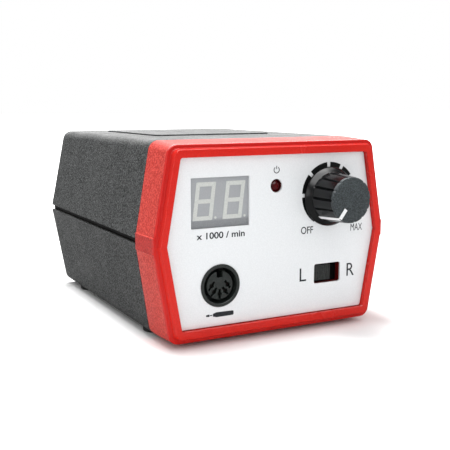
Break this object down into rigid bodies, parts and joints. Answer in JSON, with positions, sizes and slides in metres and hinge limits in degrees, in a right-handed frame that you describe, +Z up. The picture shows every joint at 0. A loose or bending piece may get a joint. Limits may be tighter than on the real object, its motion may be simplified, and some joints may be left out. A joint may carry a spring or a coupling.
{
  "type": "nail drill control box",
  "caption": "Mains control box of an electric nail drill: hexagonal case on feet, red front rim, digit display, speed knob, round socket and slide switch.",
  "frame": {"origin": "on the surface that the feet stand on, below the middle of the whole box with its knob and fuse cap", "axes": "+X to the right seen from the front, +Y from the front panel to the rear panel, +Z up"},
  "size_m": [0.1074, 0.1512, 0.0801],
  "materials": {
    "shell_plastic": "spark-eroded grain",
    "red_plastic": "satin",
    "panel_white": "fine matte",
    "black_plastic": "satin",
    "knob_plastic": "gloss",
    "knob_face": "matte",
    "pointer_white": "satin",
    "foot_rubber": "matte",
    "steel": "zinc plated",
    "core_steel": "varnished laminations",
    "brass": "plated",
    "aluminium": "satin",
    "board": "solder resist",
    "display_grey": "matte",
    "lamp_red": "clear tinted",
    "coil": "taped",
    "fuse_glass": "clear",
    "wire": "satin"
  },
  "bodies": {
    "case": {"upper_shell": "shell_plastic", "lower_shell": "shell_plastic", "foot_front_left": "foot_rubber", "foot_front_right": "foot_rubber", "foot_rear_left": "foot_rubber", "foot_rear_right": "foot_rubber", "case_screw_front_left": "steel", "case_screw_front_right": "steel", "case_screw_rear_left": "steel", "case_screw_rear_right": "steel", "front_bezel": "red_plastic", "front_panel": "panel_white", "potentiometer": "steel", "pot_nut": "steel", "direction_switch": "steel", "direction_screw_left": "steel", "direction_screw_right": "steel", "handpiece_socket": "black_plastic", "socket_insert": "black_plastic", "socket_contact_1": "brass", "socket_contact_2": "brass", "socket_contact_3": "brass", "socket_contact_4": "brass", "socket_contact_5": "brass", "display_module": "display_grey", "display_board": "board", "pilot_lamp": "lamp_red", "main_board": "board", "board_screw_1": "steel", "board_screw_2": "steel", "board_screw_3": "steel", "board_screw_4": "steel", "smoothing_capacitor": "black_plastic", "heat_sink": "aluminium", "power_transistor": "black_plastic", "transformer_core": "core_steel", "transformer_coil": "coil", "transformer_clamp": "steel", "transformer_screw_1": "steel", "transformer_screw_2": "steel", "rear_panel": "black_plastic", "mains_inlet": "black_plastic", "inlet_pin_1": "brass", "inlet_pin_2": "brass", "fuse_holder": "black_plastic", "pedal_jack": "black_plastic", "pedal_jack_nut": "steel", "mode_switch": "black_plastic", "display_ribbon": "wire", "handpiece_lead": "wire", "mains_lead": "wire"},
    "knob": {"speed_knob": "knob_plastic", "knob_cap": "knob_face", "knob_pointer": "pointer_white", "pot_shaft": "aluminium"},
    "slider": {"direction_slider": "black_plastic"},
    "rocker": {"mode_rocker": "black_plastic"},
    "fuse_carrier": {"fuse_cap": "black_plastic", "fuse": "fuse_glass"}
  },
  "joints": [
    {"name": "speed_turn", "type": "hinge", "parent": "case", "child": "knob", "pos_m": [0.0251, -0.06677, 0.05575], "axis": [0, 1, 0], "range_deg": [0, 286]},
    {"name": "direction_slide", "type": "slide", "parent": "case", "child": "slider", "axis": [1, 0, 0], "range_m": [0, 0.0044]},
    {"name": "mode_rock", "type": "hinge", "parent": "case", "child": "rocker", "pos_m": [0, 0.07027, 0.0558], "axis": [0, 0, -1], "range_deg": [0, 18]},
    {"name": "fuse_cap_turn", "type": "hinge", "parent": "case", "child": "fuse_carrier", "pos_m": [0.027, 0.07327, 0.0558], "axis": [0, 1, 0], "range_deg": [0, 90]}
  ]
}
